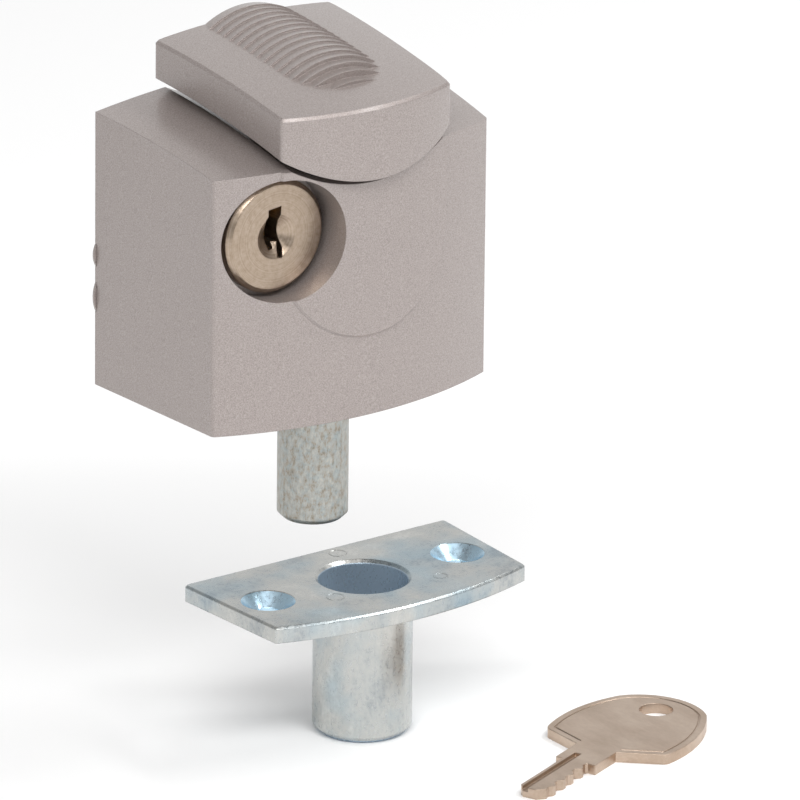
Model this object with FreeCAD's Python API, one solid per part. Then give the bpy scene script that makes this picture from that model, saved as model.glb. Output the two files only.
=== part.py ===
import FreeCAD, Part
import math
import os
from FreeCAD import Vector

# Surface-mounted push lock with its strike and key. All sizes are in millimetres.
# X runs across the door, Y points into the door and Z is up.
# Heights are counted from the underside of the housing, and the finished pieces
# are lowered together, so that the origin is the middle of the face on the door.

# Housing
front_width = 55.8
rear_width = 59.0
housing_depth = 31.8
front_bulge = 5.8
front_height = 44.85
rear_height = 48.2
dome_radius = 200.0
corner_round = 0.9
front_wall = 3.2
side_wall = 2.6
floor_wall = 3.0
roof_wall = 3.0

# Raised tongue on the front
tongue_half_width = 17.0
tongue_centre_height = 31.0
tongue_proud = 0.45
tongue_chamfer = 0.35

# Seat for the cap in the roof of the housing
seat_half_width = 17.2
seat_depth = 3.55
seat_rise = 1.65

# Thumb cap
cap_half_width = 17.2
cap_rear_half_width = 18.0
cap_front = 4.1
cap_front_bulge = 4.2
cap_rear_gap = 0.3
cap_belly_gap = 0.9
cap_belly_rise = 1.3
cap_nose_rise = 9.65
cap_rear_rise = 10.4
cap_bow_radius = 230.0
cap_crown = 1.2
cap_wall = 2.6
cap_roof = 3.2
cap_edge_chamfer = 0.45
cap_corner_round = 0.9

# Ribbed thumb grip on the cap
grip_radius = 15.6
grip_proud = 2.35
grip_round_end = 13.05
rib_count = 16
rib_first = 5.75
rib_pitch = 1.85
rib_depth = 0.4
rib_overlap = 0.3

# Stem of the cap and its travel
travel = 20.0
stem_left = 5.6
stem_right = 12.2
stem_front = 7.4
stem_back = 8.0
stem_bottom = 10.6
stem_clearance = 0.4

# Bolt
bolt_radius = 6.0
bolt_back_set = 21.5
bolt_reach = 22.8
bolt_edge = 0.9
bolt_spigot_radius = 4.0
bolt_spigot_top = 24.0
bolt_clearance = 0.1
collar_wall = 2.4
collar_top = 7.0
pin_radius = 1.25
pin_height = 19.0
pin_length = 12.5
fit = 0.05

# Carrier that joins bolt, cap and spring
carrier_bottom = 7.3
carrier_base = 3.2
carrier_back = 2.5
carrier_top = 17.8
arm_thickness = 3.3
lug_reach = 1.8
lug_depth = 2.5
cap_screw_height = 14.0
cap_screw_x = (0.8, 8.2)
cap_screw_radius = 1.5
screw_tip_gap = 0.4
screw_head_ratio = 1.85
rod_sides = 12

# Return spring
spring_x = 16.6
spring_back_set = 18.0
spring_radius = 3.7
spring_wire = 0.9
spring_turns = 6
spring_sides = 12
spring_post_radius = 2.4
spring_post_height = 5.0

# Key cylinder
cylinder_x = -16.0
cylinder_height = 33.2
pocket_radius = 10.7
pocket_floor = 30.1
face_back_set = 33.0
head_radius = 9.8
head_gap = 0.2
head_chamfer = 0.8
body_radius = 8.4
body_rear = 8.6
boss_wall = 1.35
boss_rear = 13.0
plug_radius = 5.9
ring_thickness = 1.0
ring_reach = 1.2
ring_opening = 4.0
cone_radius = 3.8
cone_depth = 2.2
tail_radius = 3.0
tail_flat = 2.2
keyway_rear = 12.9

# Wafers in the key cylinder
wafer_count = 5
wafer_pitch = 3.0
wafer_first = 27.0
wafer_thickness = 0.9
wafer_width = 4.4
wafer_throw = 0.8
wafer_lug = 1.9
wafer_spring_radius = 0.62
wafer_spring_wire = 0.26
wafer_spring_turns = 2
wafer_spring_sides = 8
wafer_lug_height = 0.8
window_half = 1.4
window_height = 7.0
window_step = 0.3

# Cam and catch behind the key cylinder
cam_thickness = 2.0
cam_gap = 0.3
cam_hub_radius = 4.6
cam_reach = 8.4
cam_finger_width = 3.0
cam_screw_length = 5.0
catch_gauge = 0.8
catch_width = 4.0
catch_x = -14.5
catch_hub_gap = 1.3
catch_overlap = 1.4
catch_gap = 0.35
catch_foot = 5.0
catch_screw_radius = 1.1

# Base plate
plate_gauge = 2.0
plate_margin = 1.7
plate_bottom = 1.8
plate_top = 42.0
plate_gap = 0.2
door_hole_radius = 2.3
door_hole_x = 22.5
door_hole_low = 9.5
door_hole_high = 35.0
bump_gauge = 0.4
bump_proud = 0.5
bump_heights = (23.0, 15.6)
bump_lengths = (3.9, 5.0)
foot_tab_inner = 17.2
foot_tab_outer = 25.4
foot_tab_depth = 11.5
foot_tab_gap = 0.1
foot_screw_x = 21.2
foot_screw_back_set = 6.8
foot_screw_radius = 1.5
foot_screw_length = 4.0
foot_screw_seat = 1.6

# Strike
strike_x = 10.0
strike_back_set = 22.4
strike_drop = 36.0
strike_front_width = 51.8
strike_rear_width = 54.3
strike_depth = 25.1
strike_bulge = 4.4
strike_bore_set = 11.0
strike_gauge = 2.85
strike_corner_round = 0.8
strike_edge_chamfer = 0.35
strike_hole_spacing = 39.3
strike_hole_radius = 2.4
strike_sink_radius = 4.7
strike_bore_radius = 7.6
strike_lip_chamfer = 0.6
sleeve_radius = 8.45
sleeve_length = 24.4
sleeve_end_chamfer = 1.2
sleeve_floor = 1.6

# Key, measured along the blade from the ring hole
key_gauge = 1.8
key_hole_x = 52.9
key_hole_back_set = 48.1
key_heading = 203.3
key_tip = 41.9
bow_rear = 6.2
bow_rear_corner = (-2.4, 8.5)
bow_side = (7.2, 12.0)
bow_front_corner = (16.8, 11.7)
bow_corner_round = 1.5
bow_hole_radius = 2.9
bow_line_inset = 1.1
bow_line_width = 0.35
bow_line_depth = 0.2
neck_start = 20.3
neck_end = 27.2
neck_width = 7.6
blade_width = 5.0
blade_groove_start = 24.0
blade_groove_width = 1.3
blade_groove_depth = 0.7
blade_groove_edge = 0.5
tip_straight_chamfer = 0.8
tip_cut_chamfer = 1.6
tip_gap = 0.2
bitting = (0.5, 0.8, 0.4, 0.7, 0.5)
bitting_flat = 0.9

half_front = front_width / 2
half_rear = rear_width / 2
bolt_y = -bolt_back_set
floor_height = -strike_drop - strike_gauge - sleeve_length
across = Vector(1, 0, 0)
into_door = Vector(0, 1, 0)
upwards = Vector(0, 0, 1)


# Plain forms
def block(x_range, y_range, z_range):
    corner = Vector(x_range[0], y_range[0], z_range[0])
    size = [high - low for low, high in (x_range, y_range, z_range)]
    return Part.makeBox(size[0], size[1], size[2], corner)


def rod_z(x, y, radius, low, high):
    return Part.makeCylinder(radius, high - low, Vector(x, y, low), upwards)


def rod_y(x, z, radius, front, back):
    return Part.makeCylinder(radius, back - front, Vector(x, front, z), into_door)


def cone_z(x, y, low_radius, high_radius, low, high):
    return Part.makeCone(low_radius, high_radius, high - low, Vector(x, y, low), upwards)


def cone_y(x, z, front_radius, back_radius, front, back):
    return Part.makeCone(front_radius, back_radius, back - front, Vector(x, front, z), into_door)


def face_of(points):
    return Part.Face(Part.makePolygon(points + [points[0]]))


def upright_edges(shape, points):
    found = []
    for edge in shape.Edges:
        ends = [vertex.Point for vertex in edge.Vertexes]
        if len(ends) == 2 and abs(ends[0].z - ends[1].z) > 1:
            for x, y in points:
                if all(math.hypot(end.x - x, end.y - y) < 0.01 for end in ends):
                    found.append(edge)
    return found


def bulged_prism(half_widths, y_range, bulge, z_range):
    """A plate-like prism with tapered sides and a front that bulges out."""
    near, far = half_widths
    front, rear = y_range
    low = z_range[0]
    corners = [Vector(x, y, low) for x, y in ((-near, front), (-far, rear), (far, rear), (near, front))]
    edges = [Part.makeLine(corners[i], corners[i + 1]) for i in range(3)]
    edges.append(Part.Arc(corners[3], Vector(0, front - bulge, low), corners[0]).toShape())
    return Part.Face(Part.Wire(edges)).extrude(Vector(0, 0, z_range[1] - low))


# The roof of the housing is part of a large dome, and the seat and the belly of
# the cap are bowed from front to back about the middle of that dome.
def centre_below(start, start_radius, end, end_radius):
    chord = end - start
    length = chord.Length
    along = (start_radius ** 2 - end_radius ** 2 + length ** 2) / (2 * length)
    below = math.sqrt(start_radius ** 2 - along ** 2)
    chord.normalize()
    down = Vector(0, chord.z, -chord.y)
    return start + chord * along + down * below


seat_low = front_height - seat_depth
seat_high = front_height + seat_rise
dome_centre = centre_below(
    Vector(0, -housing_depth, front_height), math.sqrt(dome_radius ** 2 - half_front ** 2),
    Vector(0, 0, rear_height), math.sqrt(dome_radius ** 2 - half_rear ** 2),
)


def reach_from(centre, y, height):
    return math.hypot(y - centre.y, height - centre.z)


def bowed(section, centre, y_range):
    """Sweeps a section, drawn above a centre, from front to back about it."""
    radius = section.BoundBox.ZMax - centre.z
    start, end = [math.asin((centre.y - y) / radius) for y in y_range]
    section.rotate(centre, across, math.degrees(end))
    return section.revolve(centre, across, math.degrees(start - end))


def arc_edged_section(centre, half_width, edge_radius, middle_radius, far_radius):
    """A section with an arc for one edge and a straight far edge."""
    def at(x, radius):
        return Vector(x, centre.y, centre.z + radius)

    left = at(-half_width, edge_radius)
    right = at(half_width, edge_radius)
    edges = [Part.Arc(left, at(0, middle_radius), right).toShape()]
    edges.append(Part.makeLine(right, at(half_width, far_radius)))
    edges.append(Part.makeLine(at(half_width, far_radius), at(-half_width, far_radius)))
    edges.append(Part.makeLine(at(-half_width, far_radius), left))
    return Part.Face(Part.Wire(edges))


def front_at(x, half_width, front, bulge):
    """Where a bulged front lies at a given x."""
    radius = (half_width ** 2 + bulge ** 2) / (2 * bulge)
    return front - (math.sqrt(radius ** 2 - x ** 2) - (radius - bulge))


# Small rods, screws and springs
def round_rod(start, direction, radius, length):
    return Part.makeCylinder(radius, length, start, direction)


def sided_rod(start, direction, radius, length):
    """A rod with flat sides, for small pieces inside the lock and for their holes."""
    turns = [2 * math.pi * i / rod_sides for i in range(rod_sides)]
    ring = [Vector(radius * math.cos(turn), radius * math.sin(turn), 0) for turn in turns]
    rod = face_of(ring).extrude(upwards * length)
    rod.Placement = FreeCAD.Placement(start, FreeCAD.Rotation(upwards, direction))
    return rod


def slotted_screw(start, direction, radius, length, make_head=sided_rod):
    """A screw whose flat head is as high as the shank's radius and seats at the start."""
    seat = start - direction * radius
    shank = sided_rod(start, direction, radius, length)
    head = make_head(seat, direction, radius * screw_head_ratio, radius)
    slot = Part.makeBox(4 * radius, radius / 2, radius)
    slot.translate(Vector(-2 * radius, -radius / 4, -radius / 2))
    slot.Placement = FreeCAD.Placement(seat, FreeCAD.Rotation(upwards, direction)).multiply(slot.Placement)
    return shank.fuse(head).cut(slot).removeSplitter()


def coil(radius, wire, turns, sides, low, high, x, y):
    """A compression spring of square wire, bent with a few straight lengths to each turn."""
    half = wire / 2
    rise = (high - low - wire) / (turns * sides)
    rings = []
    for i in range(turns * sides + 1):
        turn = 2 * math.pi * i / sides
        middle = low + half + i * rise
        rings.append([
            Vector(x + (radius + out) * math.cos(turn), y + (radius + out) * math.sin(turn), middle + up)
            for out, up in ((-half, -half), (-half, half), (half, half), (half, -half))])
    faces = [face_of(rings[0]), face_of(rings[-1][::-1])]
    for near, far in zip(rings, rings[1:]):
        for i in range(4):
            faces.append(face_of([near[i - 1], far[i - 1], far[i]]))
            faces.append(face_of([near[i - 1], far[i], near[i]]))
    return Part.makeSolid(Part.makeShell(faces))


# Housing
boss_radius = body_radius + boss_wall
ring_radius = body_radius + ring_reach


def tongue():
    """The raised U on the front, which the seat and the pocket cut into."""
    centre = Vector(0, -housing_depth - 2 * front_bulge, tongue_centre_height)
    left = centre - Vector(tongue_half_width, 0, 0)
    right = centre + Vector(tongue_half_width, 0, 0)
    top = Vector(0, 0, rear_height)
    edges = [Part.Arc(left, centre - Vector(0, 0, tongue_half_width), right).toShape()]
    edges.append(Part.makeLine(right, right + top))
    edges.append(Part.makeLine(right + top, left + top))
    edges.append(Part.makeLine(left + top, left))
    stamp = Part.Face(Part.Wire(edges)).extrude(Vector(0, housing_depth, 0))
    proud = bulged_prism(
        (half_front, half_front), (-housing_depth - tongue_proud, -side_wall), front_bulge,
        (0, rear_height + front_bulge),
    )
    raised = proud.common(stamp)
    rim = [e for e in raised.Edges if is_tongue_rim(e)]
    return raised.makeChamfer(tongue_chamfer, rim)


def is_tongue_rim(edge):
    point = edge.valueAt((edge.FirstParameter + edge.LastParameter) / 2)
    surface = front_at(point.x, half_front, -housing_depth - tongue_proud, front_bulge)
    return abs(point.y - surface) < 0.01 and point.z < rear_height


def housing_outside():
    z_range = (0, rear_height + 2 * front_bulge)
    outside = bulged_prism((half_front, half_rear), (-housing_depth, 0), front_bulge, z_range)
    front_corners = upright_edges(outside, [(-half_front, -housing_depth), (half_front, -housing_depth)])
    outside = outside.makeFillet(corner_round, front_corners)
    outside = outside.fuse(tongue()).removeSplitter()
    dome = Part.makeSphere(dome_radius, dome_centre, across)
    return outside.common(dome)


def cap_seat():
    low = reach_from(dome_centre, -housing_depth - front_bulge, seat_low)
    edge_y = front_at(seat_half_width, half_front, -housing_depth, front_bulge)
    high = reach_from(dome_centre, edge_y, seat_high)
    section = arc_edged_section(dome_centre, seat_half_width, high, low, low + rear_height)
    return bowed(section, dome_centre, (-2 * housing_depth, housing_depth))


def cavity():
    ceiling = seat_low - roof_wall
    space = bulged_prism(
        (half_front - side_wall, half_rear - side_wall),
        (-housing_depth + front_wall, housing_depth), front_bulge, (floor_wall, ceiling),
    )
    boss = rod_y(cylinder_x, cylinder_height, boss_radius, -2 * housing_depth, -boss_rear)
    cup = rod_y(cylinder_x, cylinder_height, pocket_radius + boss_wall, -2 * housing_depth,
                boss_wall - pocket_floor)
    collar = rod_z(0, bolt_y, bolt_radius + bolt_clearance + collar_wall, 0, collar_top)
    post = sided_rod(Vector(spring_x, -spring_back_set, 0), upwards, spring_post_radius,
                     floor_wall + spring_post_height)
    return space.cut(boss.fuse(cup).fuse(collar).fuse(post))


def stem_block(clearance, z_range):
    x_range = (-stem_left - clearance, stem_right + clearance)
    y_range = (bolt_y - stem_front - clearance, bolt_y + stem_back + clearance)
    return block(x_range, y_range, z_range)


def plate_recess(gap):
    half = half_rear - plate_margin + gap
    return block((-half, half), (-plate_gauge - gap, housing_depth), (plate_bottom - gap, plate_top + gap))


def side_bumps(gap):
    """The two thin rounded ends of the base plate that look out of each side."""
    y_range = (-bump_gauge - gap, 0)
    bumps = []
    for side in (-1, 1):
        for height, length in zip(bump_heights, bump_lengths):
            radius = ((length / 2) ** 2 + bump_proud ** 2) / (2 * bump_proud)
            centre = side * (half_rear + bump_proud - radius)
            disc = rod_y(centre, height, radius + gap, *y_range)
            slab = (height - length / 2 - gap, height + length / 2 + gap)
            reach = sorted((side * (half_rear - 2 * plate_margin), side * (half_rear + 1)))
            bumps.append(disc.common(block(reach, y_range, slab)))
    return bumps


def foot_screw_places():
    return [Vector(side * foot_screw_x, -foot_screw_back_set, foot_screw_seat) for side in (-1, 1)]


def housing_shell():
    outside = housing_outside().cut(cap_seat())
    shell = outside.cut(cavity())
    shell = shell.cut(stem_block(stem_clearance, (floor_wall, rear_height)).common(
        block((-seat_half_width, seat_half_width), (-2 * housing_depth, 0), (collar_top, rear_height))))
    pocket_front = -housing_depth - 2 * front_bulge
    shell = shell.cut(rod_y(cylinder_x, cylinder_height, pocket_radius, pocket_front, -pocket_floor))
    shell = shell.cut(rod_y(cylinder_x, cylinder_height, body_radius + fit, pocket_front, 0))
    shell = shell.cut(rod_z(0, bolt_y, bolt_radius + bolt_clearance, -1, collar_top + 1))
    shell = shell.cut(plate_recess(plate_gap))
    for bump in side_bumps(fit):
        shell = shell.cut(bump)
    for place in foot_screw_places():
        head_room = foot_screw_radius * screw_head_ratio + fit
        shell = shell.cut(sided_rod(place, upwards, foot_screw_radius + fit, floor_wall))
        shell = shell.cut(round_rod(place, -upwards, head_room, 2 * foot_screw_seat))
    ring_space = (-boss_rear, -boss_rear + 2 * ring_thickness)
    shell = shell.cut(rod_y(cylinder_x, cylinder_height, ring_radius + screw_tip_gap, *ring_space))
    shell = shell.cut(catch_screw_hole(0))
    return shell.removeSplitter()


# Base plate behind the housing
def base_plate():
    half = half_rear - plate_margin
    plate = block((-half, half), (-plate_gauge, 0), (plate_bottom, plate_top))
    for bump in side_bumps(0):
        plate = plate.fuse(bump)
    tab_low = floor_wall + foot_tab_gap
    for side in (-1, 1):
        x_range = sorted((side * foot_tab_inner, side * foot_tab_outer))
        plate = plate.fuse(block(x_range, (-foot_tab_depth, 0), (tab_low, tab_low + plate_gauge)))
    for place in foot_screw_places():
        plate = plate.cut(sided_rod(place, upwards, foot_screw_radius + fit, tab_low + plate_gauge))
    for x in (-door_hole_x, door_hole_x):
        for height in (door_hole_low, door_hole_high):
            plate = plate.cut(rod_y(x, height, door_hole_radius, -2 * plate_gauge, plate_gauge))
    return plate.removeSplitter()


def foot_screws():
    screws = [slotted_screw(place, upwards, foot_screw_radius, foot_screw_length, round_rod)
              for place in foot_screw_places()]
    return Part.makeCompound(screws)


# Thumb cap
cap_nose = -housing_depth - cap_front
cap_rear = -cap_rear_gap
cap_belly_low = seat_low + cap_belly_gap
cap_belly_high = seat_high + cap_belly_rise
cap_nose_height = front_height + cap_nose_rise
cap_rear_height = rear_height + cap_rear_rise
cap_centre = centre_below(
    Vector(0, cap_nose, cap_nose_height), cap_bow_radius,
    Vector(0, cap_rear, cap_rear_height), cap_bow_radius,
)


def cap_crown_solid():
    """Everything under the top of the cap, which is crowned and bowed."""
    top = cap_bow_radius + cap_crown
    low = cap_bow_radius - rear_height
    section = arc_edged_section(cap_centre, cap_rear_half_width, cap_bow_radius, top, low)
    return bowed(section, cap_centre, (cap_nose - 2 * cap_front_bulge, 0))


def cap_belly():
    low = reach_from(dome_centre, cap_nose - cap_front_bulge, cap_belly_low)
    high = reach_from(dome_centre, cap_nose, cap_belly_high)
    section = arc_edged_section(dome_centre, cap_rear_half_width, high, low, low + rear_height)
    return bowed(section, dome_centre, (-2 * housing_depth, housing_depth))


def cap_body():
    prism = bulged_prism(
        (cap_half_width, cap_rear_half_width), (cap_nose, cap_rear), cap_front_bulge,
        (seat_low, cap_rear_height + 2 * cap_crown))
    corners = [(side * half, y) for side in (-1, 1)
               for half, y in ((cap_half_width, cap_nose), (cap_rear_half_width, cap_rear))]
    prism = prism.makeFillet(cap_corner_round, upright_edges(prism, corners))
    body = prism.common(cap_crown_solid()).common(cap_belly())
    return body.makeChamfer(cap_edge_chamfer, [edge for edge in body.Edges if is_cap_top_edge(edge)])


def is_cap_top_edge(edge):
    """Whether an edge lies on the top of the cap, the rear one left out."""
    middle = edge.valueAt((edge.FirstParameter + edge.LastParameter) / 2)
    points = [vertex.Point for vertex in edge.Vertexes] + [middle]
    on_top = all(reach_from(cap_centre, point.y, point.z) > cap_bow_radius - 0.01 for point in points)
    return on_top and middle.y < cap_rear - 0.01


def cap_surface(y):
    """Height of the middle of the cap's top."""
    return cap_centre.z + math.sqrt((cap_bow_radius + cap_crown) ** 2 - (y - cap_centre.y) ** 2)


def grip():
    """The mound for the thumb: a ribbed rod with a round end, nearly sunk in the bowed cap."""
    ribs = []
    for i in range(rib_count):
        y = rib_first + i * rib_pitch
        before_round_end = min(y - grip_round_end, 0)
        radius = math.sqrt(grip_radius ** 2 - before_round_end ** 2)
        rib = cone_y(0, 0, radius, radius - rib_depth, 0, rib_pitch + rib_overlap)
        front = cap_nose + y
        rise = cap_surface(front + rib_pitch) - cap_surface(front)
        rib.rotate(Vector(0, 0, 0), across, math.degrees(math.atan2(rise, rib_pitch)))
        rib.translate(Vector(0, front, cap_surface(front) + grip_proud - grip_radius))
        ribs.append(rib)
    keep = block(
        (-cap_half_width, cap_half_width), (cap_nose, cap_rear),
        (cap_nose_height - grip_proud, cap_rear_height + grip_radius))
    return ribs[0].multiFuse(ribs[1:]).common(keep)


def thumb_cap():
    cap = cap_body().fuse(grip())
    cap = cap.fuse(stem_block(0, (stem_bottom, cap_belly_high)))
    cap = cap.cut(cap_pockets())
    cap = cap.cut(rod_z(0, bolt_y, bolt_spigot_radius + fit, 0, bolt_spigot_top + fit))
    cap = cap.cut(cross_pin(fit))
    for place in cap_screw_places():
        cap = cap.cut(sided_rod(place, -into_door, cap_screw_radius + fit, cap_screw_grip))
    return cap.removeSplitter()


def cap_pockets():
    """Hollows in the underside of the cap, left of the stem and behind it."""
    inner = cap_half_width - cap_wall
    top = cap_nose_height - cap_roof
    low = seat_low - 1
    left = block((-inner, -stem_left - cap_wall), (cap_nose + cap_wall, cap_rear - cap_wall), (low, top))
    back = block((-stem_left, inner), (bolt_y + stem_back + cap_wall, cap_rear - cap_wall), (low, top))
    return left.fuse(back)


# Bolt and what holds it
def bolt():
    body = rod_z(0, bolt_y, bolt_radius, -bolt_reach, carrier_bottom)
    body = body.makeChamfer(bolt_edge, [e for e in body.Edges if e.BoundBox.ZMax < -bolt_reach + 1])
    spigot = rod_z(0, bolt_y, bolt_spigot_radius, carrier_bottom, bolt_spigot_top)
    return body.fuse(spigot).cut(cross_pin(fit)).removeSplitter()


def cross_pin(clearance):
    start = Vector(-stem_left, bolt_y, pin_height)
    return sided_rod(start, across, pin_radius + clearance, pin_length)


def bolt_pin():
    return cross_pin(0)


def cap_screw_places():
    return [Vector(x, stem_rear, cap_screw_height) for x in cap_screw_x]


def cap_screws():
    back = carrier_back + 3 * fit
    length = cap_screw_grip - fit + back
    screws = [slotted_screw(place + into_door * back, -into_door, cap_screw_radius, length)
              for place in cap_screw_places()]
    return Part.makeCompound(screws)


stem_rear = bolt_y + stem_back
cap_screw_grip = stem_back - bolt_spigot_radius - screw_tip_gap
lug_front = -body_rear + cam_gap
lug_back = lug_front + lug_depth


def carrier():
    """Die-cast bracket under the stem, with the spring arm and the catch lug."""
    front = bolt_y - stem_front
    rear = stem_rear + 2 * fit + carrier_back
    base_top = carrier_bottom + carrier_base
    low = carrier_top - arm_thickness
    back = (stem_rear + 2 * fit, rear)
    piece = block((-stem_left, stem_right), (front, rear), (carrier_bottom, base_top))
    piece = piece.fuse(block((-stem_left, stem_right), back, (carrier_bottom, carrier_top)))
    arm_front = -spring_back_set - spring_radius - 1
    arm_right = spring_x + spring_radius
    piece = piece.fuse(block((stem_right + 2 * fit, arm_right), (arm_front, rear), (low, carrier_top)))
    piece = piece.fuse(block((stem_right - 1, stem_right + 1), back, (low, carrier_top)))
    inner = -stem_left + arm_thickness
    piece = piece.fuse(block((-stem_left, inner), (rear - fit, lug_back), (low, carrier_top)))
    piece = piece.fuse(block((-stem_left - lug_reach, inner), (lug_front, lug_back), (low, carrier_top)))
    piece = piece.cut(rod_z(0, bolt_y, bolt_spigot_radius + fit, 0, base_top + 1))
    piece = piece.cut(sided_rod(
        Vector(spring_x, -spring_back_set, 0), upwards, spring_post_radius + screw_tip_gap, carrier_top + 1))
    for place in cap_screw_places():
        piece = piece.cut(sided_rod(place, into_door, cap_screw_radius + fit, 2 * carrier_back))
    return piece.removeSplitter()


def return_spring():
    top = carrier_top - arm_thickness
    return coil(spring_radius, spring_wire, spring_turns, spring_sides, floor_wall + fit, top - fit,
                spring_x, -spring_back_set)


# Key cylinder
def cylinder_body():
    front = -pocket_floor
    body = rod_y(cylinder_x, cylinder_height, body_radius, front, -body_rear)
    body = body.cut(rod_y(cylinder_x, cylinder_height, plug_radius + fit, front - 1, 0))
    half = wafer_width / 2 + fit
    reach = plug_radius + wafer_throw + 2 * fit
    y_range = (front - 1, 0)
    for x, z in ((half, reach), (reach, half)):
        body = body.cut(block((cylinder_x - x, cylinder_x + x), y_range, (cylinder_height - z, cylinder_height + z)))
    return body.removeSplitter()


def retaining_ring():
    """Ring pressed on the cylinder body behind the boss."""
    front = -boss_rear + 2 * fit
    back = front + ring_thickness
    ring = sided_rod(Vector(cylinder_x, front, cylinder_height), into_door, ring_radius, ring_thickness)
    ring = ring.cut(rod_y(cylinder_x, cylinder_height, body_radius + fit, front, back))
    half = ring_opening / 2
    return ring.cut(block((cylinder_x - half, cylinder_x + half), (front, back), (0, cylinder_height)))


def keyway():
    """The zigzag slot for the key, seen from the front."""
    outline = (
        (-1.6, 4.9), (1.0, 5.2), (0.8, 2.6), (1.3, -0.5), (1.6, -2.4), (1.15, -3.9), (0.25, -3.75),
        (0.7, -2.3), (1.0, -1.4), (0.0, -1.3), (-0.05, -2.35), (-1.1, -2.45), (-1.8, 1.0),
        (-2.1, 3.2), (-1.6, 3.75),
    )
    front = -face_back_set - 1
    points = [Vector(cylinder_x + x, front, cylinder_height + z) for x, z in outline]
    return face_of(points).extrude(Vector(0, -front - keyway_rear, 0))


spring_low = cylinder_height - plug_radius / 2
spring_high = cylinder_height


def wafer_places():
    return [-wafer_first + i * wafer_pitch for i in range(wafer_count)]


def wafer_slots():
    slots = []
    half = wafer_width / 2 + fit
    for y in wafer_places():
        y_range = (y - wafer_thickness / 2 - fit, y + wafer_thickness / 2 + fit)
        reach = (cylinder_height - head_radius, cylinder_height + head_radius)
        slot = block((cylinder_x - half, cylinder_x + half), y_range, reach)
        right = cylinder_x + half
        spring = wafer_spring_radius + wafer_spring_wire
        window = block((right - fit, right + wafer_lug + fit), (y - spring, y + spring),
                       (spring_low, spring_high + wafer_lug_height + wafer_throw))
        slots.append(slot.fuse(window))
    return slots


def plug():
    head = rod_y(cylinder_x, cylinder_height, head_radius, -face_back_set, -pocket_floor - head_gap)
    rim = [e for e in head.Edges if e.BoundBox.YMax < -face_back_set + fit]
    head = head.makeChamfer(head_chamfer, rim)
    barrel = rod_y(cylinder_x, cylinder_height, plug_radius, -pocket_floor - 1, -body_rear + fit)
    tail = rod_y(cylinder_x, cylinder_height, tail_radius, -body_rear, -body_rear + cam_gap + cam_thickness)
    flats = block((cylinder_x - tail_flat, cylinder_x + tail_flat), (-2 * body_rear, 0),
                  (cylinder_height - 2 * tail_radius, cylinder_height + 2 * tail_radius))
    piece = head.fuse(barrel).fuse(tail.common(flats))
    piece = piece.cut(cone_y(
        cylinder_x, cylinder_height, cone_radius, cone_radius / 8, -face_back_set, cone_depth - face_back_set))
    piece = piece.cut(keyway())
    for slot in wafer_slots():
        piece = piece.cut(slot)
    tap = sided_rod(Vector(cylinder_x, cam_back, cylinder_height), -into_door, cap_screw_radius + fit,
                    cam_screw_length)
    return piece.cut(tap).removeSplitter()


def wafers():
    pieces = []
    half = wafer_width / 2
    for i, y in enumerate(wafer_places()):
        y_range = (y - wafer_thickness / 2, y + wafer_thickness / 2)
        disc = rod_y(cylinder_x, cylinder_height, plug_radius - fit, y_range[0], y_range[1])
        band = block((cylinder_x - half, cylinder_x + half), y_range, (0, rear_height))
        lug = block((cylinder_x, cylinder_x + half + wafer_lug), y_range,
                    (spring_high, spring_high + wafer_lug_height))
        window_low = cylinder_height - window_height / 2 + window_step * (i % 3 - 1)
        window = block((cylinder_x - window_half, cylinder_x + window_half), y_range,
                       (window_low, window_low + window_height))
        pieces.append(disc.common(band).fuse(lug).cut(window).removeSplitter())
    return Part.makeCompound(pieces)


def wafer_springs():
    x = cylinder_x + wafer_width / 2 + wafer_lug / 2 + fit
    springs = [coil(wafer_spring_radius, wafer_spring_wire, wafer_spring_turns, wafer_spring_sides,
                    spring_low + fit, spring_high - fit, x, y) for y in wafer_places()]
    return Part.makeCompound(springs)


# Cam and catch
cam_front = -body_rear + cam_gap
cam_back = cam_front + cam_thickness
catch_middle = lug_front + catch_width / 2
catch_right = catch_x + catch_gauge
catch_hook = -stem_left - lug_reach + catch_overlap


def cam():
    """A finger on the tail of the plug, which pushes the catch off its lug."""
    y_range = (cam_front, cam_back)
    hub = sided_rod(Vector(cylinder_x, cam_front, cylinder_height), into_door, cam_hub_radius, cam_thickness)
    half = cam_finger_width / 2
    tip = cylinder_x + cam_reach - half
    finger = block((cylinder_x, tip), y_range, (cylinder_height - half, cylinder_height + half))
    finger = finger.fuse(rod_y(tip, cylinder_height, half, cam_front, cam_back))
    bore = rod_y(cylinder_x, cylinder_height, tail_radius + fit, -2 * body_rear, 0)
    flats = block((cylinder_x - tail_flat - fit, cylinder_x + tail_flat + fit), (-2 * body_rear, 0),
                  (0, rear_height))
    return hub.fuse(finger).cut(bore.common(flats)).removeSplitter()


def cam_screw():
    start = Vector(cylinder_x, cam_back + fit, cylinder_height)
    return slotted_screw(start, -into_door, cap_screw_radius, cam_screw_length)


def catch_screw_hole(clearance):
    start = Vector(catch_right + catch_foot / 2, catch_middle, floor_wall / 4)
    return sided_rod(start, upwards, catch_screw_radius + clearance, 2 * floor_wall)


def catch_leaf():
    """Bent spring strip whose hook lies over the lug of the carrier."""
    y_range = (catch_middle - catch_width / 2, catch_middle + catch_width / 2)
    low = floor_wall + fit
    hook_low = carrier_top + catch_gap
    leaf = block((catch_x, catch_right), y_range, (low, cylinder_height - cam_hub_radius - catch_hub_gap))
    leaf = leaf.fuse(block((catch_x, catch_right + catch_foot), y_range, (low, low + catch_gauge)))
    leaf = leaf.fuse(block((catch_x, catch_hook), y_range, (hook_low, hook_low + catch_gauge)))
    return leaf.cut(catch_screw_hole(fit)).removeSplitter()


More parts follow.
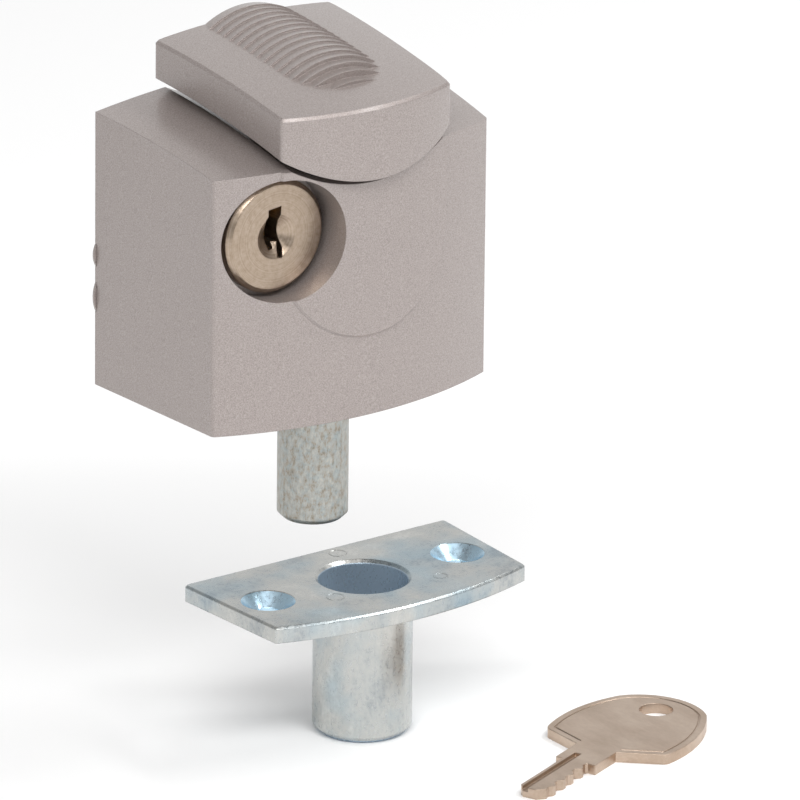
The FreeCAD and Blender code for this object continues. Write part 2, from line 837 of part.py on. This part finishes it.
def catch_screw():
    start = Vector(catch_right + catch_foot / 2, catch_middle, floor_wall + catch_gauge + 2 * fit)
    return slotted_screw(start, -upwards, catch_screw_radius, floor_wall)


# Strike, drawn about the axis of its bore and then moved to its place
def strike():
    """Cast plate with a sleeve for the bolt and two countersunk screw holes."""
    top = -strike_drop
    low = top - strike_gauge
    front = -strike_bore_set
    rear = front + strike_depth
    halves = (strike_front_width / 2, strike_rear_width / 2)
    plate = bulged_prism(halves, (front, rear), strike_bulge, (low, top))
    corners = [(-halves[0], front), (halves[0], front), (-halves[1], rear), (halves[1], rear)]
    plate = plate.makeFillet(strike_corner_round, upright_edges(plate, corners))
    plate = plate.makeChamfer(strike_edge_chamfer, [e for e in plate.Edges if e.BoundBox.ZMin > top - 0.01])
    sleeve = rod_z(0, 0, sleeve_radius, floor_height, low)
    end = [e for e in sleeve.Edges if e.BoundBox.ZMax < floor_height + sleeve_floor]
    sleeve = sleeve.makeChamfer(sleeve_end_chamfer, end)
    piece = plate.fuse(sleeve)
    piece = piece.cut(rod_z(0, 0, strike_bore_radius, floor_height + sleeve_floor, top + 1))
    lip_radius = strike_bore_radius + strike_lip_chamfer
    piece = piece.cut(cone_z(0, 0, strike_bore_radius, lip_radius, top - strike_lip_chamfer, top))
    for x in (-strike_hole_spacing / 2, strike_hole_spacing / 2):
        sink = strike_sink_radius - strike_hole_radius
        piece = piece.cut(rod_z(x, 0, strike_hole_radius, low - 1, top + 1))
        piece = piece.cut(cone_z(x, 0, strike_hole_radius, strike_sink_radius, top - sink, top))
    piece.translate(Vector(strike_x, -strike_back_set, 0))
    return piece.removeSplitter()


# Key, drawn with its blade along +X from the ring hole and then laid on the floor
def key():
    neck = block((bow_front_corner[0], neck_end), (-neck_width / 2, neck_width / 2), (0, key_gauge))
    piece = bow().fuse(neck).fuse(blade())
    piece = piece.cut(rod_z(0, 0, bow_hole_radius, -1, key_gauge + 1))
    groove_low = -blade_width / 2 + blade_groove_edge
    piece = piece.cut(block(
        (blade_groove_start, key_tip + 1), (groove_low, groove_low + blade_groove_width),
        (key_gauge - blade_groove_depth, key_gauge + 1)))
    piece.rotate(Vector(0, 0, 0), upwards, key_heading)
    piece.translate(Vector(key_hole_x, -key_hole_back_set, floor_height))
    return piece.removeSplitter()


def bow():
    """The grip of the key, with a line cut along its edge."""
    def at(place, side):
        return Vector(place[0], side * place[1], 0)

    neck = (neck_start, neck_width / 2)
    edges = [Part.Arc(at(bow_rear_corner, -1), Vector(-bow_rear, 0, 0), at(bow_rear_corner, 1)).toShape()]
    edges.append(Part.Arc(at(bow_rear_corner, 1), at(bow_side, 1), at(bow_front_corner, 1)).toShape())
    edges.append(Part.makeLine(at(bow_front_corner, 1), at(neck, 1)))
    edges.append(Part.makeLine(at(neck, 1), at(neck, -1)))
    edges.append(Part.makeLine(at(neck, -1), at(bow_front_corner, -1)))
    edges.append(Part.Arc(at(bow_front_corner, -1), at(bow_side, -1), at(bow_rear_corner, -1)).toShape())
    face = Part.Face(Part.Wire(edges))
    disc = face.extrude(upwards * key_gauge)
    corners = [(bow_front_corner[0], side * bow_front_corner[1]) for side in (-1, 1)]
    disc = disc.makeFillet(bow_corner_round, upright_edges(disc, corners))
    outer = face.makeOffset2D(-bow_line_inset)
    inner = face.makeOffset2D(-bow_line_inset - bow_line_width)
    line = outer.cut(inner).extrude(upwards * key_gauge)
    line.translate(upwards * (key_gauge - bow_line_depth))
    return disc.cut(line)


def blade():
    """Straight on one side and cut for the wafers on the other."""
    half = blade_width / 2
    outline = [
        Vector(neck_start, -half, 0), Vector(key_tip - tip_straight_chamfer, -half, 0),
        Vector(key_tip, -half + tip_straight_chamfer, 0), Vector(key_tip, half - tip_cut_chamfer, 0),
        Vector(key_tip - tip_cut_chamfer, half, 0), Vector(neck_start, half, 0),
    ]
    flat = face_of(outline).extrude(upwards * key_gauge)
    for y, depth in zip(wafer_places(), bitting):
        place = key_tip + keyway_rear + tip_gap + y
        narrow = bitting_flat / 2
        wide = narrow + depth + 1
        notch = face_of([
            Vector(place - wide, half + 1, 0), Vector(place - narrow, half - depth, 0),
            Vector(place + narrow, half - depth, 0), Vector(place + wide, half + 1, 0),
        ])
        flat = flat.cut(notch.extrude(upwards * key_gauge))
    return flat


def save(name, shape):
    placed = shape.copy()
    placed.translate(Vector(0, 0, -rear_height / 2))
    placed.exportStep("parts/" + name + ".step")


pieces = {
    "housing_shell": housing_shell,
    "base_plate": base_plate,
    "foot_screws": foot_screws,
    "thumb_cap": thumb_cap,
    "cap_screws": cap_screws,
    "carrier": carrier,
    "bolt": bolt,
    "bolt_pin": bolt_pin,
    "return_spring": return_spring,
    "cylinder_body": cylinder_body,
    "retaining_ring": retaining_ring,
    "plug": plug,
    "wafers": wafers,
    "wafer_springs": wafer_springs,
    "cam": cam,
    "cam_screw": cam_screw,
    "catch_leaf": catch_leaf,
    "catch_screw": catch_screw,
    "strike": strike,
    "key": key,
}

os.makedirs("parts", exist_ok=True)
for name, make in pieces.items():
    save(name, make())
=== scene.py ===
import math

import bpy
from mathutils import Matrix, Vector

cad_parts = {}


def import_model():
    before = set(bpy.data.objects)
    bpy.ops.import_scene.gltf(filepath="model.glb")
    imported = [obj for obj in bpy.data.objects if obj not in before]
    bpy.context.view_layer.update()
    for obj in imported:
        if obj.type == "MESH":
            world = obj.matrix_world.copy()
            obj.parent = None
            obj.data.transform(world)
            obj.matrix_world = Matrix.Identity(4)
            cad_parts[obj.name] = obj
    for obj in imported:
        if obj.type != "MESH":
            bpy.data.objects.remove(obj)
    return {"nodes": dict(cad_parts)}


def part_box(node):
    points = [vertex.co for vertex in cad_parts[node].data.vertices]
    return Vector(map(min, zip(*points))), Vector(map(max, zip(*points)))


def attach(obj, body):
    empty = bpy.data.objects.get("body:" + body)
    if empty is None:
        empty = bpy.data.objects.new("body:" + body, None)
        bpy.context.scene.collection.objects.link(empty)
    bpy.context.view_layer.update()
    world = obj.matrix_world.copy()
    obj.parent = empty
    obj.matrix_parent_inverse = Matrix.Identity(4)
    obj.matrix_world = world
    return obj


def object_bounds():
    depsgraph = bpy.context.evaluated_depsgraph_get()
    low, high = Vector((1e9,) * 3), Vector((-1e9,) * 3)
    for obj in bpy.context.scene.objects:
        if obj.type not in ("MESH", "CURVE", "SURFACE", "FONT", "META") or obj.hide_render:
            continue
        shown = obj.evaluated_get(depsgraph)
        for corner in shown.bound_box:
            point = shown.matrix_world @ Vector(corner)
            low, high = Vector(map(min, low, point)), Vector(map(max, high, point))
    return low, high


# Camera, fitted to the housing's edges in the photograph, for an image 800 pixels wide
IMAGE_WIDTH = 800
VIEW_AZIMUTH = math.radians(-35.92)
VIEW_ELEVATION = math.radians(20.5)
VIEW_ROLL = math.radians(-0.5)
VIEW_DISTANCE = 2.2
PIXELS_PER_METRE = 6006
TARGET_PIXEL = (349.4, 404.1)
SENSOR_WIDTH = 36.0
CLIP_END = 22.0

# The housing's front corners lie this far in front of the door
FRONT_CORNER_Y = -0.0318

# Floor
FLOOR_SIZE = 6.0
FLOOR_COLOUR = (0.98, 0.98, 0.98, 1)
FLOOR_ROUGHNESS = 0.8

# Soft boxes: name, azimuth and elevation in degrees, distance, width and height in metres, power in watts
STUDIO = (
    ("key_light", -30, 48, 1.0, 1.1, 0.18, 7.8),
    ("right_light", 68, 53, 1.0, 0.7, 0.15, 3.6),
    ("back_light", 140, 25, 1.2, 2.0, 1.2, 3.0),
)
WORLD_COLOUR = (1.0, 1.0, 1.0, 1)
WORLD_STRENGTH = 0.44

# Small roundings that the light shows on the edges
LACQUER_EDGE = 0.00022
METAL_EDGE = 0.0003
BOLT_EDGE = 0.0008
EDGE_SAMPLES = 6

# Lacquer
LACQUER_GRAIN_SCALE = 5200
LACQUER_CLOUD_SCALE = 45
LACQUER_ROUGHNESS = (0.40, 0.46)
LACQUER_METALLIC = 0.45
LACQUER_COAT = 0.8
LACQUER_COAT_ROUGHNESS = 0.2
LACQUER_GRAIN_HEIGHT = 0.00003

# Plating: how much specks and clouds weigh in the colour, and where the bloom sets in
SPECK_SHARE = 0.35
CLOUD_SHARE = 0.65
BLOOM_SIZE = 0.6
BLOOM_RANGE = (0.45, 0.7)
PLATING_GRAIN_HEIGHT = 0.00001

# Turned face of the plug
RING_SCALE = 4500
TURNED_SPECK_SCALE = 1500
TURNED_SPECK_SHARE = 0.6
RING_SHARE = 0.4
TURNED_ROUGHNESS = (0.28, 0.38)
RING_HEIGHT = 0.000004

# The strike's bore and sinks: how far their axes lie behind the front of the plate, sizes and colours;
# the bore's darker slate blue is the plating's tint with painted inner reflection and shade, and the
# sinks' light blue is a painted reflection
BORE_FROM_FRONT = 0.0154
BORE_RADIUS = 0.0077
BORE_PLATING_AND_PAINTED_REFLECTION = (0.42, 0.52, 0.61)
BORE_METALLIC = 0.5
SINK_SPACING = 0.0393
SINK_RADIUS = 0.0046
SINK_PAINTED_REFLECTION = (0.54, 0.74, 0.88)

# Marks of the ejector pins on the strike: place from the middle of its plate, and radius
EJECTOR_MARKS = (
    (-0.0094, -0.0044, 0.0016),
    (0.0028, 0.0119, 0.0016),
    (0.0109, -0.0065, 0.0013),
)
MARK_SIDES = 32
MARK_RIM = 0.00022
MARK_HEIGHT = 0.00004
MARK_SINK = 0.000016

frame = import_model()
cad_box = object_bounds()
nodes = frame["nodes"]


# Node helpers, which add to a material's node tree
def new_material(name):
    made = bpy.data.materials.new(name)
    made.use_nodes = True
    return made, made.node_tree, made.node_tree.nodes["Principled BSDF"]


def object_coordinates(tree, scale=(1, 1, 1), origin=(0, 0, 0)):
    """Object coordinates, counted from an origin and then stretched by a scale on each axis."""
    coordinates = tree.nodes.new("ShaderNodeTexCoord")
    mapping = tree.nodes.new("ShaderNodeMapping")
    mapping.inputs["Scale"].default_value = scale
    mapping.inputs["Location"].default_value = [-place * size for place, size in zip(origin, scale)]
    tree.links.new(coordinates.outputs["Object"], mapping.inputs["Vector"])
    return mapping.outputs["Vector"]


def noise(tree, vector, scale, detail=3.0, roughness=0.55):
    """A noise in space, with more or finer detail where asked for."""
    made = tree.nodes.new("ShaderNodeTexNoise")
    made.inputs["Scale"].default_value = scale
    made.inputs["Detail"].default_value = detail
    made.inputs["Roughness"].default_value = roughness
    tree.links.new(vector, made.inputs["Vector"])
    return made.outputs["Fac"]


def ring_noise(tree, distance, scale):
    """A noise that only changes with the distance from an axis."""
    made = tree.nodes.new("ShaderNodeTexNoise")
    made.noise_dimensions = "1D"
    made.inputs["Scale"].default_value = scale
    made.inputs["Detail"].default_value = 2.0
    tree.links.new(distance, made.inputs["W"])
    return made.outputs["Fac"]


def length_of(tree, vector):
    """The length of a vector socket."""
    made = tree.nodes.new("ShaderNodeVectorMath")
    made.operation = "LENGTH"
    tree.links.new(vector, made.inputs[0])
    return made.outputs["Value"]


def ramp(tree, factor, stops):
    """A colour ramp with (place, colour) stops."""
    made = tree.nodes.new("ShaderNodeValToRGB")
    elements = made.color_ramp.elements
    while len(elements) < len(stops):
        elements.new(1.0)
    for element, (place, colour) in zip(elements, stops):
        element.position = place
        element.color = (*colour, 1)
    tree.links.new(factor, made.inputs["Fac"])
    return made.outputs["Color"]


def spread(tree, factor, low, high, start=0.3, end=0.7):
    """Spreads the part of a noise between start and end over the range from low to high."""
    made = tree.nodes.new("ShaderNodeMapRange")
    made.inputs["From Min"].default_value = start
    made.inputs["From Max"].default_value = end
    made.inputs["To Min"].default_value = low
    made.inputs["To Max"].default_value = high
    tree.links.new(factor, made.inputs["Value"])
    return made.outputs["Result"]


def arithmetic(tree, operation, *values):
    made = tree.nodes.new("ShaderNodeMath")
    made.operation = operation
    for socket, value in zip(made.inputs, values):
        if isinstance(value, float):
            socket.default_value = value
        else:
            tree.links.new(value, socket)
    return made.outputs["Value"]


def outside_of(tree, x, y, radius):
    """One further than a radius from an upright axis, and nought nearer to it."""
    centred = object_coordinates(tree, (1, 1, 0), (x, y, 0))
    return arithmetic(tree, "GREATER_THAN", length_of(tree, centred), radius)


def weighed(tree, first, first_share, second, second_share):
    """The sum of two noises, each by its share."""
    part = arithmetic(tree, "MULTIPLY_ADD", first, first_share, 0.0)
    return arithmetic(tree, "MULTIPLY_ADD", second, second_share, part)


def tinted(tree, base, factor, tint):
    """Multiplies a colour by a tint, as far as a factor says."""
    made = tree.nodes.new("ShaderNodeMix")
    made.data_type = "RGBA"
    made.blend_type = "MULTIPLY"
    tree.links.new(factor, made.inputs["Factor"])
    tree.links.new(base, made.inputs["A"])
    made.inputs["B"].default_value = (*tint, 1)
    return made.outputs["Result"]


def mixed_colour(tree, factor, colour, other):
    """A fixed colour where the factor is nought, and another socket's colour where it is one."""
    made = tree.nodes.new("ShaderNodeMix")
    made.data_type = "RGBA"
    tree.links.new(factor, made.inputs["Factor"])
    made.inputs["A"].default_value = (*colour, 1)
    tree.links.new(other, made.inputs["B"])
    return made.outputs["Result"]


def grained(tree, shader, height, distance, edge):
    """Bump over a normal that runs round the edges."""
    rounded = tree.nodes.new("ShaderNodeBevel")
    rounded.samples = EDGE_SAMPLES
    rounded.inputs["Radius"].default_value = edge
    made = tree.nodes.new("ShaderNodeBump")
    made.inputs["Distance"].default_value = distance
    tree.links.new(height, made.inputs["Height"])
    tree.links.new(rounded.outputs["Normal"], made.inputs["Normal"])
    tree.links.new(made.outputs["Normal"], shader.inputs["Normal"])


# Materials
def satin_lacquer():
    """Grey-beige metallic lacquer with a fine grain."""
    made, tree, shader = new_material("satin_lacquer")
    vector = object_coordinates(tree)
    grain = noise(tree, vector, LACQUER_GRAIN_SCALE, detail=2.0, roughness=0.6)
    cloud = noise(tree, vector, LACQUER_CLOUD_SCALE)
    colour = ramp(tree, grain, (
        (0.32, (0.270, 0.230, 0.216)),
        (0.50, (0.342, 0.297, 0.280)),
        (0.68, (0.414, 0.362, 0.344)),
    ))
    tree.links.new(colour, shader.inputs["Base Color"])
    tree.links.new(spread(tree, cloud, *LACQUER_ROUGHNESS), shader.inputs["Roughness"])
    shader.inputs["Metallic"].default_value = LACQUER_METALLIC
    shader.inputs["Coat Weight"].default_value = LACQUER_COAT
    shader.inputs["Coat Roughness"].default_value = LACQUER_COAT_ROUGHNESS
    grained(tree, shader, grain, LACQUER_GRAIN_HEIGHT, LACQUER_EDGE)
    return made


def plated(name, stops, cloud_scale, speck_scale, roughness, tint, stretch=(1, 1, 1), edge=METAL_EDGE):
    """Plated metal: a cloudy colour, fine specks and a tinted bloom in places."""
    made, tree, shader = new_material(name)
    plain = object_coordinates(tree)
    drawn = object_coordinates(tree, stretch)
    cloud = noise(tree, drawn, cloud_scale, detail=4.0, roughness=0.6)
    speck = noise(tree, drawn, speck_scale, roughness=0.6)
    bloom = noise(tree, plain, cloud_scale * BLOOM_SIZE, detail=2.0)
    colour = ramp(tree, weighed(tree, speck, SPECK_SHARE, cloud, CLOUD_SHARE), stops)
    colour = tinted(tree, colour, spread(tree, bloom, 0.0, 1.0, *BLOOM_RANGE), tint)
    tree.links.new(colour, shader.inputs["Base Color"])
    tree.links.new(spread(tree, speck, *roughness), shader.inputs["Roughness"])
    shader.inputs["Metallic"].default_value = 1.0
    grained(tree, shader, speck, PLATING_GRAIN_HEIGHT, edge)
    return made


def bolt_zinc():
    """Zinc plating with a fine mix of yellow, brown and blue bloom, drawn along the bolt."""
    stops = (
        (0.34, (0.255, 0.220, 0.175)),
        (0.45, (0.385, 0.358, 0.308)),
        (0.53, (0.405, 0.415, 0.400)),
        (0.62, (0.500, 0.488, 0.440)),
    )
    return plated(
        "bolt_zinc", stops, cloud_scale=1500, speck_scale=5200, roughness=(0.34, 0.48),
        tint=(0.86, 0.94, 1.0), stretch=(1, 1, 0.5), edge=BOLT_EDGE)


def strike_zinc():
    """Blue passivated zinc casting; the bore gets a darker slate blue, which is the plating's tint with
    painted inner reflection and shade, and the sinks get a painted light blue reflection.
    """
    stops = (
        (0.36, (0.380, 0.405, 0.415)),
        (0.47, (0.500, 0.515, 0.505)),
        (0.56, (0.545, 0.550, 0.530)),
        (0.66, (0.640, 0.640, 0.615)),
    )
    made = plated(
        "strike_zinc", stops, cloud_scale=150, speck_scale=1700, roughness=(0.24, 0.36),
        tint=(0.74, 0.89, 1.0), stretch=(1, 1, 0.6))
    tree = made.node_tree
    shader = tree.nodes["Principled BSDF"]
    low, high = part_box("strike")
    middle = (low.x + high.x) / 2
    depth = low.y + BORE_FROM_FRONT
    colour = shader.inputs["Base Color"].links[0].from_socket
    # Painted reflection: a light blue colour in the two sinks stands in for the blue reflection they show
    for x in (middle - SINK_SPACING / 2, middle + SINK_SPACING / 2):
        colour = mixed_colour(tree, outside_of(tree, x, depth, SINK_RADIUS), SINK_PAINTED_REFLECTION, colour)
    # Painted inner reflection and shade: the bore gets a darker slate blue over the plating's tint, and
    # less metallic
    outside_bore = outside_of(tree, middle, depth, BORE_RADIUS)
    colour = mixed_colour(tree, outside_bore, BORE_PLATING_AND_PAINTED_REFLECTION, colour)
    tree.links.new(colour, shader.inputs["Base Color"])
    tree.links.new(arithmetic(tree, "MAXIMUM", outside_bore, BORE_METALLIC), shader.inputs["Metallic"])
    return made


def small_zinc():
    stops = (
        (0.36, (0.42, 0.42, 0.40)),
        (0.50, (0.54, 0.55, 0.53)),
        (0.64, (0.62, 0.62, 0.60)),
    )
    return plated(
        "small_zinc", stops, cloud_scale=300, speck_scale=2600, roughness=(0.32, 0.46),
        tint=(0.92, 0.92, 0.84))


def turned_nickel():
    """Warm nickel, turned on a lathe, so that its lines run round the axis of the plug."""
    made, tree, shader = new_material("turned_nickel")
    low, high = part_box("plug")
    head_radius = (high.x - low.x) / 2
    axis = (low.x + head_radius, 0, high.z - head_radius)
    ring = ring_noise(tree, length_of(tree, object_coordinates(tree, (1, 0, 1), axis)), RING_SCALE)
    speck = noise(tree, object_coordinates(tree), TURNED_SPECK_SCALE, roughness=0.6)
    colour = ramp(tree, weighed(tree, speck, TURNED_SPECK_SHARE, ring, RING_SHARE), (
        (0.34, (0.320, 0.248, 0.184)),
        (0.50, (0.400, 0.316, 0.244)),
        (0.66, (0.472, 0.384, 0.308)),
    ))
    tree.links.new(colour, shader.inputs["Base Color"])
    tree.links.new(spread(tree, speck, *TURNED_ROUGHNESS), shader.inputs["Roughness"])
    shader.inputs["Metallic"].default_value = 1.0
    grained(tree, shader, ring, RING_HEIGHT, METAL_EDGE)
    return made


def key_nickel():
    """Satin nickel with fine scratches along the key's blade."""
    stops = (
        (0.34, (0.457, 0.352, 0.270)),
        (0.50, (0.535, 0.421, 0.334)),
        (0.62, (0.597, 0.483, 0.388)),
    )
    return plated(
        "key_nickel", stops, cloud_scale=220, speck_scale=2200, roughness=(0.30, 0.42),
        tint=(0.95, 0.93, 0.91), stretch=(1, 0.4, 1))


def raw_casting():
    stops = (
        (0.36, (0.30, 0.30, 0.30)),
        (0.50, (0.42, 0.42, 0.42)),
        (0.64, (0.50, 0.50, 0.49)),
    )
    return plated(
        "raw_casting", stops, cloud_scale=240, speck_scale=1600, roughness=(0.45, 0.60),
        tint=(0.90, 0.90, 0.92))


def spring_steel():
    stops = (
        (0.36, (0.26, 0.27, 0.29)),
        (0.50, (0.40, 0.41, 0.43)),
        (0.64, (0.50, 0.50, 0.51)),
    )
    return plated(
        "spring_steel", stops, cloud_scale=500, speck_scale=2600, roughness=(0.25, 0.38),
        tint=(0.85, 0.88, 1.0))


def brass():
    stops = (
        (0.36, (0.46, 0.31, 0.12)),
        (0.50, (0.62, 0.45, 0.20)),
        (0.64, (0.72, 0.56, 0.29)),
    )
    return plated(
        "brass", stops, cloud_scale=400, speck_scale=2200, roughness=(0.25, 0.38),
        tint=(0.95, 0.86, 0.80))


def paint(names, made):
    for name in names:
        mesh = nodes[name].data
        mesh.materials.clear()
        mesh.materials.append(made)


def paint_all(strike_metal):
    paint(("housing_shell", "thumb_cap", "base_plate"), satin_lacquer())
    paint(("bolt",), bolt_zinc())
    paint(("foot_screws", "cap_screws", "cam", "cam_screw", "catch_screw"), small_zinc())
    paint(("strike",), strike_metal)
    paint(("plug",), turned_nickel())
    paint(("key",), key_nickel())
    paint(("carrier", "cylinder_body"), raw_casting())
    paint(("return_spring", "wafer_springs", "catch_leaf", "retaining_ring", "bolt_pin"), spring_steel())
    paint(("wafers",), brass())


# Marks that the ejector pins of the mould left on the strike
def select_top(cylinder):
    """Selects the only face of an upright cylinder that looks up."""
    bpy.ops.object.mode_set(mode="EDIT")
    bpy.ops.mesh.select_all(action="DESELECT")
    bpy.ops.object.mode_set(mode="OBJECT")
    top = max(cylinder.data.polygons, key=lambda face: face.normal.z)
    top.select = True


def ejector_mark(name, x, y, radius, top):
    """A shallow raised ring with a sunk middle."""
    bpy.ops.object.select_all(action="DESELECT")
    bpy.ops.mesh.primitive_cylinder_add(
        vertices=MARK_SIDES, radius=radius, depth=MARK_HEIGHT, location=(x, y, top))
    made = bpy.context.object
    made.name = name
    select_top(made)
    bpy.ops.object.mode_set(mode="EDIT")
    bpy.ops.mesh.inset(thickness=MARK_RIM)
    bpy.ops.transform.translate(value=(0, 0, -MARK_SINK))
    bpy.ops.object.mode_set(mode="OBJECT")
    bpy.ops.object.transform_apply(location=True, rotation=True, scale=True)
    return made


def ejector_marks(metal):
    low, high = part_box("strike")
    middle = (low + high) / 2
    for number, (x, y, radius) in enumerate(EJECTOR_MARKS, 1):
        mark = ejector_mark(f"ejector_mark_{number}", middle.x + x, middle.y + y, radius, high.z)
        mark.data.materials.append(metal)
        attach(mark, "strike")


# Stage
def floor():
    low = cad_box[0]
    bpy.ops.object.select_all(action="DESELECT")
    bpy.ops.mesh.primitive_plane_add(size=FLOOR_SIZE, location=(0, 0, low.z))
    made = bpy.context.object
    made.name = "floor"
    material, _, shader = new_material("floor_white")
    shader.inputs["Base Color"].default_value = FLOOR_COLOUR
    shader.inputs["Roughness"].default_value = FLOOR_ROUGHNESS
    made.data.materials.append(material)


def direction(azimuth, elevation):
    """The way from the object to a viewer; azimuth 0 is in front of it."""
    across = math.cos(elevation)
    return Vector((math.sin(azimuth) * across, -math.cos(azimuth) * across, math.sin(elevation)))


def lights():
    """Soft boxes that stand round the middle of the object and face it."""
    middle = (cad_box[0] + cad_box[1]) / 2
    for name, azimuth, elevation, distance, width, height, power in STUDIO:
        data = bpy.data.lights.new(name, "AREA")
        data.shape = "RECTANGLE"
        data.size = width
        data.size_y = height
        data.energy = power
        made = bpy.data.objects.new(name, data)
        bpy.context.scene.collection.objects.link(made)
        back = direction(math.radians(azimuth), math.radians(elevation))
        made.location = middle + back * distance
        made.rotation_mode = "QUATERNION"
        made.rotation_quaternion = (-back).to_track_quat("-Z", "Y")


def world():
    made = bpy.data.worlds.new("studio")
    made.use_nodes = True
    background = made.node_tree.nodes["Background"]
    background.inputs["Color"].default_value = WORLD_COLOUR
    background.inputs["Strength"].default_value = WORLD_STRENGTH
    bpy.context.scene.world = made
    bpy.context.scene.view_settings.view_transform = "Standard"


def camera():
    """Shows the middle between the housing's lower front corners at the target pixel, as in the photo."""
    target = Vector((0, FRONT_CORNER_Y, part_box("housing_shell")[0].z))
    back = direction(VIEW_AZIMUTH, VIEW_ELEVATION)
    right = Vector((math.cos(VIEW_AZIMUTH), math.sin(VIEW_AZIMUTH), 0))
    up = back.cross(right)
    tilted_right = right * math.cos(VIEW_ROLL) - up * math.sin(VIEW_ROLL)
    tilted_up = right * math.sin(VIEW_ROLL) + up * math.cos(VIEW_ROLL)
    half = IMAGE_WIDTH / 2
    centre = target + tilted_right * ((half - TARGET_PIXEL[0]) / PIXELS_PER_METRE)
    centre += tilted_up * ((TARGET_PIXEL[1] - half) / PIXELS_PER_METRE)
    eye = target + back * VIEW_DISTANCE
    look = (eye - centre).normalized()
    side = (tilted_right - look * tilted_right.dot(look)).normalized()
    rise = look.cross(side)
    data = bpy.data.cameras.new("camera")
    data.sensor_width = SENSOR_WIDTH
    data.lens = SENSOR_WIDTH * PIXELS_PER_METRE * VIEW_DISTANCE / IMAGE_WIDTH
    data.clip_end = CLIP_END
    made = bpy.data.objects.new("camera", data)
    bpy.context.scene.collection.objects.link(made)
    turn = Matrix((side, rise, look)).transposed()
    made.matrix_world = Matrix.Translation(eye) @ turn.to_4x4()
    bpy.context.scene.camera = made


strike_metal = strike_zinc()
paint_all(strike_metal)
ejector_marks(strike_metal)
floor()
lights()
world()
camera()
